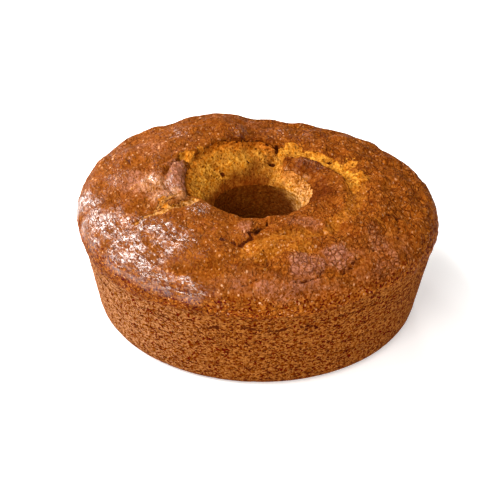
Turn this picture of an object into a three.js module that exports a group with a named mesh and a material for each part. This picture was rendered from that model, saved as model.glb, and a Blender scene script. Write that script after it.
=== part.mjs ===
import * as THREE from 'three';

// A ring-shaped yogurt cake, baked in a plain tube tin and turned out the right way up.
// Millimetres, +Z up. The cake stands on its flat base, with the tin's axis on Z.
// Angles are in degrees, anticlockwise from +X as seen from above.

// Tin: the flared wall and the tube that shaped the sides
const CORNER_RADIUS = 107;
const WALL_SLOPE = 0.182;
const WALL_TOP = 42;
const FOOT_ROUND = 9.5;
const TUBE_RADIUS = 30;
const TUBE_SPREAD = 3;
const TUBE_TOP = 68;
const TUBE_FOOT_ROUND = 2;

// Crust: it rises from the wall in a soft flare to a round edge, then domes over the ring
const FLARE_TURN = 60;
const EDGE_RADIUS = 120.4;
const EDGE_HEIGHT = 66.5;
const SHOULDER_RADIUS = 104;
const CREST_RADIUS = 72;
const CREST_HEIGHT = 86.5;
const OUTER_CURVE = 0.0054;
const INNER_CURVE = 0.0028;
const TOP_BLEND = 10;

// Mouth of the hole, as its radius at an angle: close to the tube in front, wider inside the two
// lobes at the sides, and torn far open at the back
const MOUTH = [
  [-90, 38], [-50, 36], [-18, 35], [10, 37.5], [45, 38], [62, 39.5], [84, 65], [93, 65],
  [106, 59.5], [130, 57.5], [147, 55], [174, 51.5], [193, 49], [207, 41], [233, 36], [270, 38],
];
const LIP_ROUND = 5;
const LIP_DROP = 6;

// Uneven rise: the back left quarter stands higher, with a step where it parted from the back
const HIGH_QUARTER = { from: 95, step: 9, to: 165, fade: 50, rise: 4.5 };
const DOME_SWELLS = [
  { angle: 40, spread: 45, size: -3.2 },
  { angle: 80, spread: 17, size: -2.8 },
];
const EDGE_SWELLS = [
  { angle: 180, spread: 60, size: 1 },
  { angle: 20, spread: 50, size: -2.5 },
];
const EDGE_INSET = { angle: 18, spread: 40, size: 1.6 };

// Lumps of the risen batter: a sum of waves whose directions turn by the golden angle
const LUMP_WAVES = 7;
const LUMP_HEIGHT = 0.35;
const LUMP_LENGTH = 52;
const GOLDEN_ANGLE = 137.5;

// Facets: columns round the ring, and rows along each stretch of the section
const COLUMNS = 124;
const FOOT_ROWS = 3;
const WALL_ROWS = 4;
const FLARE_POINTS = 3;
const DOME_POINTS = 6;
const FUNNEL_POINTS = 3;
const ROWS_PER_SPAN = 2;
const TUBE_ROWS = 3;
const ARC_STEPS = 8;

const { degToRad, euclideanModulo, lerp, clamp, smoothstep } = THREE.MathUtils;

// Cracks and tears in the crust: routes over the top (x, y), each with its half width and depth
// at the first and last point
const GROOVES = [
  { name: 'behind the right lobe', half: [8, 4], depth: [5, 1.5], route: arc(60, 74, 63, -12) },
  { name: 'behind the left lobe', half: [5, 4], depth: [5, 1.5], route: arc(66, 143, 61, 186) },
  { name: 'left tear', half: [4, 4], depth: [4, 0.5], route: [[-42, -21], [-55, -34], [-77, -52]] },
  { name: 'front crack', half: [4, 3.5], depth: [4, 2], route: [[6, -41], [1, -56], [-11, -76]] },
  { name: 'front crack, turned', half: [3.5, 3.5], depth: [2, 1], route: [[-11, -76], [-24, -71]] },
  { name: 'front pit', half: [3.5, 3.5], depth: [1.5, 1], route: [[4, -82], [5, -96]] },
  { name: 'right crack', half: [3.5, 3.5], depth: [2, 1], route: [[85, -32], [89, -46], [87, -57]] },
  { name: 'stretched front', half: [9, 9], depth: [1.6, 1.6], route: [[0, -72], [20, -66], [42, -54]] },
  { name: 'stretched right', half: [9, 9], depth: [1.6, 1.6], route: [[42, -54], [65, -12], [61, 21]] },
];

// Loose plates of darker crust that stand a little proud of the stretched crust
const PLATES = [
  { x: 29, y: -94, alongX: 13.5, alongY: 13, height: 2 },
  { x: 50, y: -82, alongX: 10.5, alongY: 14, height: 2 },
];
const PLATE_TOP = 0.75;
const PLATE_EDGE = 1.1;

// A route along an arc whose radius changes evenly with the angle
function arc(startRadius, startAngle, endRadius, endAngle) {
  return Array.from({ length: ARC_STEPS + 1 }, (_, i) => {
    const radius = lerp(startRadius, endRadius, i / ARC_STEPS);
    const angle = degToRad(lerp(startAngle, endAngle, i / ARC_STEPS));
    return [radius * Math.cos(angle), radius * Math.sin(angle)];
  });
}

// Smooth swelling round an angle, full size at its middle
function swell(angle, { angle: centre, spread, size }) {
  const turn = euclideanModulo(angle - centre + 180, 360) - 180;
  return size * Math.exp(-((turn / spread) ** 2));
}

function sumOfSwells(angle, swells) {
  return swells.reduce((sum, one) => sum + swell(angle, one), 0);
}

function mouthRadius(angle) {
  const turn = euclideanModulo(angle + 90, 360) - 90;
  const next = MOUTH.findIndex(([bound]) => bound > turn);
  const [fromAngle, fromRadius] = MOUTH[next - 1];
  const [toAngle, toRadius] = MOUTH[next];
  return lerp(fromRadius, toRadius, smoothstep(turn, fromAngle, toAngle));
}

function domeLift(angle) {
  const turn = euclideanModulo(angle, 360);
  const { from, step, to, fade, rise } = HIGH_QUARTER;
  const high = smoothstep(turn, from, from + step) - smoothstep(turn, to, to + fade);
  return rise * high + sumOfSwells(angle, DOME_SWELLS);
}

function domeHeight(radius) {
  const curve = radius > CREST_RADIUS ? OUTER_CURVE : INNER_CURVE;
  return CREST_HEIGHT - curve * (radius - CREST_RADIUS) ** 2;
}

// Curve of the crust at an angle, from the top of the wall over the dome and lip to the tube
function crustCurve(angle) {
  const lift = domeLift(angle);
  const wall = new THREE.Vector2(CORNER_RADIUS + WALL_SLOPE * WALL_TOP, WALL_TOP);
  const edge = new THREE.Vector2(
    EDGE_RADIUS - swell(angle, EDGE_INSET),
    EDGE_HEIGHT + sumOfSwells(angle, EDGE_SWELLS),
  );
  const shoulder = new THREE.Vector2(SHOULDER_RADIUS, domeHeight(SHOULDER_RADIUS) + lift);
  const points = [];
  for (let i = 0; i <= FLARE_POINTS; i += 1) {
    const part = i / FLARE_POINTS;
    const out = Math.sin(degToRad(FLARE_TURN * part)) / Math.sin(degToRad(FLARE_TURN));
    points.push(new THREE.Vector2(lerp(wall.x, edge.x, out), lerp(wall.y, edge.y, part)));
  }
  for (const turn of [30, 60]) {
    const inward = 1 - Math.cos(degToRad(turn));
    const upward = Math.sin(degToRad(turn));
    points.push(new THREE.Vector2(
      lerp(edge.x, shoulder.x, inward),
      lerp(edge.y, shoulder.y, upward),
    ));
  }
  const mouth = mouthRadius(angle);
  for (let i = 0; i < DOME_POINTS; i += 1) {
    const radius = lerp(SHOULDER_RADIUS, mouth + LIP_ROUND, i / (DOME_POINTS - 1));
    points.push(new THREE.Vector2(radius, domeHeight(radius) + lift));
  }
  const lip = new THREE.Vector2(mouth, domeHeight(mouth) + lift - LIP_DROP / 3);
  const underLip = new THREE.Vector2(mouth - LIP_ROUND / 2, lip.y - (LIP_DROP * 2) / 3);
  const tubeTop = new THREE.Vector2(TUBE_RADIUS, TUBE_TOP);
  points.push(lip, underLip);
  for (let i = 1; i <= FUNNEL_POINTS; i += 1) {
    points.push(underLip.clone().lerp(tubeTop, i / FUNNEL_POINTS));
  }
  return new THREE.SplineCurve(points);
}

// One closed section of the ring at an angle: base, foot, wall, crust and tube
function sectionPoints(angle) {
  const crust = crustCurve(angle);
  const wallTop = crust.points[0];
  const tubeTop = crust.points[crust.points.length - 1];
  const tubeFoot = new THREE.Vector2(TUBE_RADIUS + TUBE_SPREAD, TUBE_FOOT_ROUND);
  const baseInside = new THREE.Vector2(tubeFoot.x + TUBE_FOOT_ROUND, 0);
  const baseOutside = new THREE.Vector2(CORNER_RADIUS - FOOT_ROUND, 0);
  const corner = new THREE.Vector2(CORNER_RADIUS, 0);
  const wallFoot = new THREE.Vector2(CORNER_RADIUS + WALL_SLOPE * FOOT_ROUND, FOOT_ROUND);
  const spans = [
    [new THREE.LineCurve(baseInside, baseOutside), 1],
    [new THREE.QuadraticBezierCurve(baseOutside, corner, wallFoot), FOOT_ROWS],
    [new THREE.LineCurve(wallFoot, wallTop), WALL_ROWS],
    [crust, ROWS_PER_SPAN * (crust.points.length - 1)],
    [new THREE.LineCurve(tubeTop, tubeFoot), TUBE_ROWS],
    [new THREE.LineCurve(tubeFoot, baseInside), 1],
  ];
  return spans.flatMap(([curve, rows]) => curve.getPoints(rows).slice(1));
}

// Distance from a point to a route, and how far along the route its nearest point lies (0 to 1)
function nearestOnRoute(x, y, route) {
  let best = { distance: Infinity, along: 0 };
  for (let i = 0; i + 1 < route.length; i += 1) {
    const [ax, ay] = route[i];
    const [bx, by] = route[i + 1];
    const span = (bx - ax) ** 2 + (by - ay) ** 2;
    const part = clamp(((x - ax) * (bx - ax) + (y - ay) * (by - ay)) / span, 0, 1);
    const distance = Math.hypot(x - lerp(ax, bx, part), y - lerp(ay, by, part));
    if (distance < best.distance) {
      best = { distance, along: (i + part) / (route.length - 1) };
    }
  }
  return best;
}

function grooveDepth(x, y, { half, depth, route }) {
  const { distance, along } = nearestOnRoute(x, y, route);
  const reach = distance / lerp(half[0], half[1], along);
  return reach < 1 ? lerp(depth[0], depth[1], along) * (1 - reach ** 2) ** 2 : 0;
}

function plateHeight(x, y, plate) {
  const reach = Math.hypot((x - plate.x) / plate.alongX, (y - plate.y) / plate.alongY);
  return plate.height * (1 - smoothstep(reach, PLATE_TOP, PLATE_EDGE));
}

function lumpHeight(x, y) {
  let height = 0;
  for (let i = 0; i < LUMP_WAVES; i += 1) {
    const turn = degToRad(GOLDEN_ANGLE * i);
    const length = LUMP_LENGTH / (1 + i / 3);
    const across = x * Math.cos(turn) + y * Math.sin(turn);
    height += LUMP_HEIGHT * Math.sin((2 * Math.PI * across) / length + i * i);
  }
  return height;
}

// Relief of the top crust above the smooth dome
function relief(x, y) {
  const grooves = GROOVES.map((groove) => grooveDepth(x, y, groove));
  const plates = PLATES.map((plate) => plateHeight(x, y, plate));
  return lumpHeight(x, y) - Math.max(...grooves) + Math.max(...plates);
}

// Closed ring of sections, with the relief on the rows that belong to the top crust
function cakeGeometry() {
  const positions = [];
  const indices = [];
  let rows = 0;
  for (let column = 0; column < COLUMNS; column += 1) {
    const angle = (360 * column) / COLUMNS;
    const section = sectionPoints(angle);
    rows = section.length;
    for (const point of section) {
      const x = point.x * Math.cos(degToRad(angle));
      const y = point.x * Math.sin(degToRad(angle));
      const onTop = smoothstep(point.y, EDGE_HEIGHT, EDGE_HEIGHT + TOP_BLEND);
      positions.push(x, y, point.y + onTop * relief(x, y));
    }
  }
  for (let column = 0; column < COLUMNS; column += 1) {
    const next = (column + 1) % COLUMNS;
    for (let row = 0; row < rows; row += 1) {
      const above = (row + 1) % rows;
      const a = column * rows + row;
      const b = next * rows + row;
      const c = next * rows + above;
      const d = column * rows + above;
      indices.push(a, b, c, a, c, d);
    }
  }
  const geometry = new THREE.BufferGeometry();
  geometry.setAttribute('position', new THREE.Float32BufferAttribute(positions, 3));
  geometry.setIndex(indices);
  geometry.computeVertexNormals();
  return geometry;
}

const bakedCrust = new THREE.MeshStandardMaterial({ color: '#a3602c', roughness: 0.55, metalness: 0 });

const cake = new THREE.Mesh(cakeGeometry(), bakedCrust);
cake.name = 'cake';

const yogurtCake = new THREE.Group();
yogurtCake.add(cake);

export default yogurtCake;
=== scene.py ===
import math

import bpy
import numpy as np
from mathutils import Matrix, Vector


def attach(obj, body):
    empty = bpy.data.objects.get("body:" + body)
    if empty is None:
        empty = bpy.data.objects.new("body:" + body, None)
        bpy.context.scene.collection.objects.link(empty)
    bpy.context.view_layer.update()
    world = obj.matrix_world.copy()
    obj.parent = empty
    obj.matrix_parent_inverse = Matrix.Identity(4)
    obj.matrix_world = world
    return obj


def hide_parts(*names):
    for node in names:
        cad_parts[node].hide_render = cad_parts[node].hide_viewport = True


# A ring-shaped yogurt cake on a pale floor. Lengths are in millimetres and angles in degrees,
# anticlockwise from +X as seen from above, until the mesh is made in metres.
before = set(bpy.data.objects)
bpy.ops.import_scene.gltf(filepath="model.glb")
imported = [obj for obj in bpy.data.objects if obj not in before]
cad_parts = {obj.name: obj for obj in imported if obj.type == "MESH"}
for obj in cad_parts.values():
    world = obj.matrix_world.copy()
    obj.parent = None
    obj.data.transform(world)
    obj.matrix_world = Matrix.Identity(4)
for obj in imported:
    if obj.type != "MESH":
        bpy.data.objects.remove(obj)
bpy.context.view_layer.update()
MM = 0.001

# Form of the solid: the tin's wall and tube
CORNER_RADIUS = 107.0
WALL_SLOPE = 0.182
WALL_TOP = 42.0
FOOT_ROUND = 9.5
TUBE_RADIUS = 30.0
TUBE_SPREAD = 3.0
TUBE_TOP = 68.0
TUBE_FOOT_ROUND = 2.0

# Form of the solid: the crust's flare, round edge and dome
FLARE_TURN = 60.0
EDGE_RADIUS = 120.4
EDGE_HEIGHT = 66.5
SHOULDER_TURNS = (30.0, 60.0)
SHOULDER_RADIUS = 104.0
CREST_RADIUS = 72.0
CREST_HEIGHT = 86.5
OUTER_CURVE = 0.0054
INNER_CURVE = 0.0028
TOP_BLEND = 10.0

# Mouth of the hole: its radius at an angle, the round of its lip, and how ragged it is
MOUTH = np.array([
    [-90, 38], [-50, 36], [-18, 35], [10, 37.5], [45, 38], [62, 39.5], [84, 65], [93, 65],
    [106, 59.5], [130, 57.5], [147, 55], [174, 51.5], [193, 49], [207, 41], [233, 36], [270, 38],
])
LIP_ROUND = 5.0
LIP_DROP = 6.0
MOUTH_RAGGED = 0.45
MOUTH_RING = 60.0

# The back of the mouth, which is torn open: where the tear begins and where it ends
TEAR_START = (62, 84)
TEAR_END = (134, 150)
TORN_LIP_ROUND = 1.8
TORN_RAGGED = 1.2

# Form of the solid: the highest quarter, and swellings as (angle, spread, size)
HIGH_START = (95, 104)
HIGH_END = (165, 215)
HIGH_RISE = 4.5
DOME_SWELLS = [(40, 45, -3.2), (80, 17, -2.8)]
EDGE_SWELLS = [(180, 60, 1.0), (20, 50, -2.5)]
EDGE_INSETS = [(18, 40, 1.6)]
LUMP_WAVES = 7
LUMP_HEIGHT = 0.35
LUMP_LENGTH = 52.0
GOLDEN_ANGLE = 137.5

# Facets: columns round the ring, and rows along each stretch of the section
COLUMNS = 512
BASE_ROWS = 3
FOOT_ROWS = 5
WALL_ROWS = 26
FLARE_ROWS = 8
SHOULDER_ROWS = 8
DOME_ROWS = 9
LIP_ROWS = 5
FUNNEL_ROWS = 9
TUBE_ROWS = 26
TUBE_EASE = 1.5
TUBE_FOOT_ROWS = 2
FLARE_POINTS = 3
SHOULDER_SPANS = len(SHOULDER_TURNS) + 1
DOME_POINTS = 6
FUNNEL_POINTS = 3
EDGE_ROWS = FLARE_ROWS * FLARE_POINTS + SHOULDER_ROWS * SHOULDER_SPANS
CRUST_ROWS = EDGE_ROWS + DOME_ROWS * (DOME_POINTS - 1) + LIP_ROWS
MOUTH_ROW = BASE_ROWS + FOOT_ROWS + WALL_ROWS + CRUST_ROWS - 1

# Height where the brown crust ends on the wall, how ragged and soft that end is, how far the porous
# side lies behind it, and the porous line below
CRUST_END = 60.0
CRUST_END_SWELLS = [(-48, 22, 6.5), (-150, 28, -5.5), (20, 60, -2.0), (120, 60, 2.0)]
CRUST_END_RAGGED = 2.6
CRUST_END_SOFT = 2.6
CRUST_END_SOFT_SWELLS = [(-25, 40, 5.0)]
SIDE_RECESS = 0.9
# The porous line below is painted dark as shade in its pores
BAND_DROP = 9.5
BAND_HALF = 1.6
BAND_DARK = 0.76

# Radii that part the outside of the cake from its hole, and heights that end the base's colour
OUTSIDE = (92, 96)
BASE_END = (2, 6)

# Skin that the tin's tube left in the hole, with its swellings, and how ragged and soft its top is
# The skin's high, soft top is painted shade that darkens the crumb down into the hole
TUBE_SKIN_TOP = 72.3
TUBE_SKIN_SWELLS = [(125, 40, 1.5), (10, 40, -24)]
TUBE_SKIN_RAGGED = 2.6
TUBE_SKIN_SOFT = 3.5
TUBE_SKIN_SOFT_SWELLS = [(10, 40, 12.0)]

# Crumb of the hole: where the lip is bare besides the tear, and where painted light makes the crumb
# paler
BARE_LIP_SWELLS = [(38, 34, 1.0)]
LIT_CRUMB_SWELLS = [(12, 45, 1.0)]

# Dark rim of the tear, baked hardest: its angles, half width and strength
BURNT_START = (76, 84)
BURNT_END = (128, 138)
BURNT_DROP = 0.2
BURNT_HALF = 1.4
BURNT_DARK = 0.95

# Uneven shift of what is drawn on the top, as length and size: for cracks, and for broad patches
NARROW_SHIFT = (7, 1.5)
BROAD_SHIFT = (13, 3.2)

# Gaps torn behind the two lobes of crust at the mouth, from the first angle to the last; the radius
# and its bulges are those of the lobe's steep edge
# Their dark share is painted shade on the gap's floor
LOBE_GAPS = [
    {"angles": (92, -16), "radius": (53, 61), "bulges": [(75, 18, -4.5)], "width": (13, 5),
     "soft": (3, 7), "depth": (5.0, 1.0), "crumb": 1.0, "dark": 0.0},
    {"angles": (145, 208), "radius": (56.5, 55), "bulges": [(181, 16, 4.5)], "width": (4, 3),
     "soft": (4, 3), "depth": (4.6, 2.8), "crumb": 0.3, "dark": 0.3},
]
GAP_STEP = 3.6

# Ends of the torn rim where crumb shows through the crust: place, radius, bareness and fall
BARE_ENDS = [
    ((12, 50), 7, 1.0, 1.0), ((22, 60), 9, 0.8, 0.0), ((-49, 29), 8, 0.9, 1.0),
    ((-41, 40), 6, 0.7, 0.5), ((-62, -30), 9, 0.6, 0.0), ((62, 34), 10, 0.85, 0.0),
    ((67, 14), 10, 0.75, 0.0),
]

# Cracks: route over the top, then half width, depth, darkness of the painted shade in them, and bare
# crumb at both ends
CRACKS = [
    ([(-42, -21), (-48, -28), (-57, -35), (-65, -40), (-77, -52)],
     (5.5, 2.2), (2.8, 0.8), (0.1, 0.0), (1.0, 0.8)),
    ([(-52, -19), (-60, -26), (-66, -37)], (1.8, 1.4), (1.8, 1.2), (0.2, 0.1), (0.9, 0.7)),
    ([(6, -48), (5.5, -53), (0.5, -56), (-0.5, -62), (-5, -65)],
     (1.1, 1.5), (2.4, 2.8), (0.7, 0.9), (0.3, 0.2)),
    ([(-5, -65), (-4.5, -69), (-8, -73), (-11, -76.5), (-16, -73), (-24, -71)],
     (1.1, 1.0), (2.0, 0.8), (0.95, 0.8), (0, 0)),
    ([(3.5, -82), (6, -89)], (1.2, 1.0), (2.2, 1.0), (0.85, 0.6), (0, 0)),
    ([(6, -91), (4.5, -96.5)], (1.1, 1.1), (1.6, 1.6), (0.8, 0.8), (0, 0)),
    ([(0, -107), (-10, -111), (-17, -114)], (1.1, 1.0), (0.9, 0.5), (0.65, 0.5), (0, 0)),
    ([(9, -62), (17, -61)], (1.1, 1.0), (1.0, 0.6), (0.7, 0.5), (0, 0)),
    ([(12, -67), (21, -72)], (1.1, 1.0), (1.0, 0.6), (0.7, 0.5), (0, 0)),
    ([(79, -38), (85, -32), (88.5, -37), (89.5, -46), (87.5, -57)],
     (1.1, 1.0), (1.6, 1.0), (0.85, 0.7), (0, 0)),
    ([(24, -107.5), (31, -106), (37, -100), (41.5, -93.5)],
     (1.0, 1.0), (1.6, 1.8), (0.65, 0.75), (0, 0)),
    ([(51, -95), (56.5, -90), (59.5, -84)], (1.2, 1.0), (2.0, 1.4), (0.9, 0.65), (0, 0)),
    ([(41.5, -92), (42, -82), (43, -76)], (1.0, 1.0), (1.4, 0.8), (0.65, 0.5), (0, 0)),
    ([(60, -84), (68, -76), (75, -68), (82, -70)], (1.0, 1.0), (1.2, 0.8), (0.6, 0.7), (0, 0)),
    ([(-88.5, 24), (-86.5, 14)], (1.1, 1.0), (1.2, 0.8), (0.8, 0.6), (0, 0)),
    ([(-60, 48), (-55, 58)], (1.1, 1.0), (1.0, 0.6), (0.75, 0.6), (0, 0)),
]

# How far the painted shade of a crack reaches, in half widths, before its outline is made crisp
CRACK_REACH = 2.6

# Stretched golden crust between the older brown patches: route, half width and strength
STRETCHED = [
    ([(-6, -83), (8, -70), (22, -67), (42, -54), (58, -34), (65, -12), (63, 20)], 8.0, 1.0),
    ([(4, -88), (15, -80), (30, -77)], 7.0, 0.8),
    ([(58, -34), (72, -40), (82, -52)], 6.0, 0.4),
    ([(36, -108), (53, -98), (66, -79), (80, -63)], 4.0, 0.4),
]
STRETCH_DEPTH = 1.2

# Older plates of crust with a mauve tone, partly a painted sheen: centre, half sizes, turn, height and
# share of mauve and sheen
PLATES = [
    ((29, -94), (14, 13), 20, 0.7, 0.9),
    ((50, -82), (10.5, 15), -8, 0.7, 0.9),
    ((30, -49), (16, 8.5), -28, 0.5, 0.6),
    ((-7, -57), (6, 12), 8, 0.6, 0.7),
    ((72, -56), (9, 11), -40, 0.5, 0.5),
    ((-63, -24), (7, 10), -40, 0.9, 1),
    ((37, 38), (9, 15), 35, 0.7, 0.4),
]

# Edge of a plate, in shares of its half sizes, how uneven it is, and how far its shade is shifted
PLATE_EDGE = (0.78, 1.04)
PLATE_UNEVEN = 0.22
UNDERCUT = 1.2

# Flat mauve patches with soft outlines, partly a painted sheen: centre, half sizes, turn and share of
# mauve and sheen
MAUVE = [
    ((16, -110), (60, 14), 0, 0.8),
    ((74, -76), (40, 26), 45, 0.65),
    ((-80, 50), (42, 26), -35, 0.5),
    ((-20, 96), (50, 18), 0, 0.5),
    ((-78, -10), (28, 24), 0, 0.9),
]

# The rounded lobe on the left of the mouth: centre, half sizes and turn, then its height and its share
# of mauve and painted sheen
KNOB = ((-55.5, 3), (7.5, 24), 4)
KNOB_HEIGHT = 3.2
KNOB_MAUVE_AND_SHEEN = 0.9

# Darker patches of crust, burnt along the torn rim: place, radius and strength
DARKER_CRUST = [
    ((34, 36), 15, 0.5), ((22, 45), 8, 0.5), ((39, -6), 16, 0.95), ((41, 10), 10, 0.7),
    ((42, 26), 10, 0.4), ((0, 76), 12, 0.3), ((-20, 100), 45, 0.15), ((-21, 57), 5, 0.8),
    ((-12, 61.5), 5, 0.9), ((-4, 65), 5, 0.7), ((7, 66.5), 5, 0.8),
]

# Paler crust round the left tear, and painted highlights along the right lobe's cut edge: place and
# radius
PALE_AND_HIGHLIT_SPOTS = [
    ((-63, -24), 11), ((-70, -8), 12), ((-55, -18), 8), ((17, 35.5), 3), ((25, 30), 3),
    ((31.5, 22.5), 3.5),
]

# The glossy left half: patches that shine most, dull hollows between them, and patches elsewhere
# that shine a little, each as place and radius
SHINY = [
    ((-71, -6), 8), ((-112, -17), 13), ((-107, -40), 12), ((-39, -32), 11), ((-93, -52), 18),
    ((-80, -74), 17), ((-86, -84), 11), ((-71, -92), 13), ((-58, -103), 11), ((-45, -109), 8),
    ((-38, -114), 7), ((-64, -88), 9), ((-49, -71), 15), ((-65, -55), 14), ((-58, -9), 8),
]
DULL = [
    ((-104, -15), 7), ((-94, -66), 6), ((-85, -38), 8), ((-43, -98), 7), ((-26, -92), 9),
    ((-80, 18), 10),
]
SHEEN = [
    ((38, 38), 12), ((-94, 2), 12), ((-63, -24), 9), ((-16, 68), 10), ((7, 79), 13), ((30, 76), 11),
    ((33, 92), 6), ((-62, 62), 14), ((-90, 40), 12),
]
SHINY_RISE = 0.5
DULL_FALL = 0.7
SHEEN_SHARE = 0.2

# Air holes in the torn crumb, painted dark inside as shade: place on the surface, radius and depth, and
# how flat they are
AIR_HOLES = [
    ((11, 62, 79), 2.0, 2.4), ((8.5, 56, 74), 3.0, 3.2), ((-8, 48, 76.5), 1.5, 1.5),
    ((-25, 32.5, 75), 2.0, 2.0), ((48, 42.5, 77), 2.6, 2.2), ((-3, 63, 79), 1.1, 1.2),
]
AIR_HOLE_SHAPE = (1, 1, 0.3)

# Skin of the crust: radius of the ring that places are unrolled to, then length and height of the
# wrinkles, blisters, folds and creases
WRINKLE_RING = 45.0
WRINKLE_LENGTH = 6.0
WRINKLE_HEIGHT = 0.6
BLISTER_LENGTH = 8.0
BLISTER_HEIGHT = 0.5
FOLD_LENGTH = 18.0
FOLD_HEIGHT = 1.2
CALM_FOLD_HEIGHT = 0.5
CREASE_LENGTH = 6.0
CREASE_HEIGHT = 0.35
SKIN_DROP = 0.2

# Sponge of the crumb, and the larger pores of the side, which are wider than they are high
SPONGE_LENGTH = 8.0
SPONGE_HEIGHT = 0.7
SIDE_SPONGE_HEIGHT = 0.1
PIT_SPACING = 5.0
PIT_DEPTH = 0.5
PORE_SPACING = 6.0
PORE_FLATNESS = 2.4
PORE_DEPTH = 0.35

# Patterns of the material, in repeats a metre; hollows also have sizes, and facets a share
BROAD_NOISE = 45
MIDDLE_NOISE = 140
FINE_NOISE = 430
STIR_NOISE = 260
WRINKLE_NOISE = 120
GLAZE_NOISE = 130
GRAIN_CELLS = 1000
CREASE_LINES = 250
SKIN_CRACKLE = 300
PLATE_CRACKLE = 235
FACETS = [(140, 0.7), (290, 0.25)]
ROUND_PORES = (250, 0.0, 0.38)
DASHES = (395, 0.05, 0.55)
PINHOLES = (800, 0.05, 0.5)
GLINTS = (480, 0.05, 0.5)
CRUMB_HOLLOWS = (520, 0.05, 0.5)

# How places are stretched and stirred before a pattern is laid on them, in shares and metres
PLACE_STRETCH = (1, 0.6, 1)
PORE_STRETCH = (0.9, 0.9, 2.3)
STIR = 0.003
SWAY = 0.0012

# Finest relief, in metres
FACET_BUMP = 0.2
LUMP_BUMP = 0.0008
WRINKLE_BUMP = 0.0012
CREASE_BUMP = 0.0003
LINE_BUMP = -0.0007
PORE_BUMP = -0.0014
FINE_BUMP = (0.0003, 0.0010)
GRAIN_BUMP = 0.0002
GLAZE_FACET_BUMP = 0.5
GLAZE_LINE_BUMP = 0.0001
GLAZE_SWELL_BUMP = 0.0024

# Finish of the material
CRUST_ROUGHNESS = 0.55
CRUMB_ROUGHNESS = 0.9
COAT_ROUGHNESS = 0.2
COAT_IOR = 1.8
SPECULAR_LEVEL = 0.01

# Colours of the crust, crumb, side, tube, pores and cracks, and how the grain tints them
CRUST_DARK = (0.095, 0.016, 0.0005)
CRUST_MID = (0.238, 0.062, 0.0052)
CRUST_AMBER = (0.195, 0.049, 0.0035)
CRUST_LIGHT = (0.300, 0.084, 0.008)
# Pale crust that stands in for painted highlights: the glint dots, and the pale spots at the tear and
# right lobe
CRUST_PALE_HIGHLIGHT = (0.480, 0.220, 0.090)
GOLDEN_CRUST = (0.272, 0.081, 0.0064)
# Mauve of the older crust, partly a painted sheen of pale light on it
MAUVE_AND_SHEEN_CRUST = (0.315, 0.116, 0.058)
CRUMB_LIP = (0.355, 0.100, 0.007)
CRUMB_GOLD = (0.400, 0.160, 0.016)
# Pale crumb: painted light on the right inner face, and paler crumb in the cracks
CRUMB_PALE_LIT = (0.440, 0.200, 0.060)
SIDE_LIGHT = (0.190, 0.056, 0.0078)
SIDE_MID = (0.163, 0.045, 0.0053)
# Paler side, painted light on the left of the cake
SIDE_LIT_PALE = (0.300, 0.122, 0.042)
# Brown tube skin, which also serves as painted shade down in the hole and in the crumb's hollows
TUBE_SKIN_AND_SHADE = (0.090, 0.016, 0.0007)
# Painted shade inside pores and pits
PORE_SHADE = (0.055, 0.005, 0.0002)
# Painted shade of cracks, gaps, air holes, plate edges and the line of pores, and the burnt rim's own
# dark
SHADE_AND_BURNT_DARK = (0.055, 0.009, 0.001)
# Tint of the random grain, whose pale cells stand in for glints as painted highlights
GRAIN_AND_GLINT_TINT = (0.75, 1.20, 2.40)
POROUS_GRAIN = 1.8
CALM_GRAIN = 0.85

# Limits between which the mesh's soft masks become crisp in the material
OUTLINES = {"crumb": (0.35, 0.6), "golden": (0.25, 0.75), "dark": (0.45, 0.65), "tube": (0.1, 0.9)}

# Camera fitted to the photograph, in metres and millimetres of lens
CAMERA_AIM = Vector((0, 0, 0.040))
CAMERA_DISTANCE = 0.9
CAMERA_ELEVATION = 32.0
CAMERA_ROLL = 1.3
CAMERA_LENS = 95.5
CAMERA_SHIFT = (-0.016, -0.0154)

# Window on the left: azimuth, elevation and size in metres of each pane
WINDOW_PANES = [
    (142, 42, 0.32), (112, 28, 0.17), (185, 66, 0.27), (131, 10, 0.23), (168, 26, 0.25),
    (210, 40, 0.27), (75, 40, 0.14),
]
WINDOW_DISTANCE = 1.0
WINDOW_RADIANCE = 20.0

# Soft fill from the front and the right: name, azimuth, elevation, distance, size and power
FILLS = [("front_fill", 245, 42, 1.8, 0.8, 21.0), ("right_fill", 305, 24, 1.8, 0.8, 21.3)]
LIGHT_COLOUR = (1.0, 0.97, 0.94)
WORLD_STRENGTH = 0.08

# Pale floor, in metres: just below the base, with a faint glow and specks of two whites
FLOOR_HALF = 6.0
FLOOR_DROP = 0.0005
FLOOR_GLOW = 0.3
FLOOR_SPECKS = 40
FLOOR_WHITES = ((0.90, 0.90, 0.90), (0.94, 0.94, 0.94))
FLOOR_ROUGHNESS = 0.8
FLOOR_SPECULAR = 0.1


# Curves: soft steps up and down, a bell, and a straight way

def step(value, start, end):
    part = np.clip((value - start) / (end - start), 0, 1)
    return part * part * (3 - 2 * part)


def fade(value, start, end):
    return 1 - step(value, start, end)


def bell(value, half):
    return np.exp(-((value / half) ** 2))


def mix(start, end, part):
    return start + (end - start) * part


# Repeatable noise, with a channel of its own for each use

def cell_value(cell, channel):
    """A repeatable value from 0 to 1 for each lattice cell."""
    code = (cell[:, 0] * 73856093) ^ (cell[:, 1] * 19349663) ^ (cell[:, 2] * 83492791)
    code = (code ^ (channel * 668265263)) & 0xFFFFFFFF
    code = ((code ^ (code >> 15)) * 739982445) & 0xFFFFFFFF
    code = ((code ^ (code >> 12)) * 695872825) & 0xFFFFFFFF
    return ((code ^ (code >> 15)) & 0xFFFFFF) / 0xFFFFFF


def cell_vector(cell, channel):
    return np.stack([cell_value(cell, 3 * channel + axis) for axis in range(3)], axis=-1)


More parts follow.
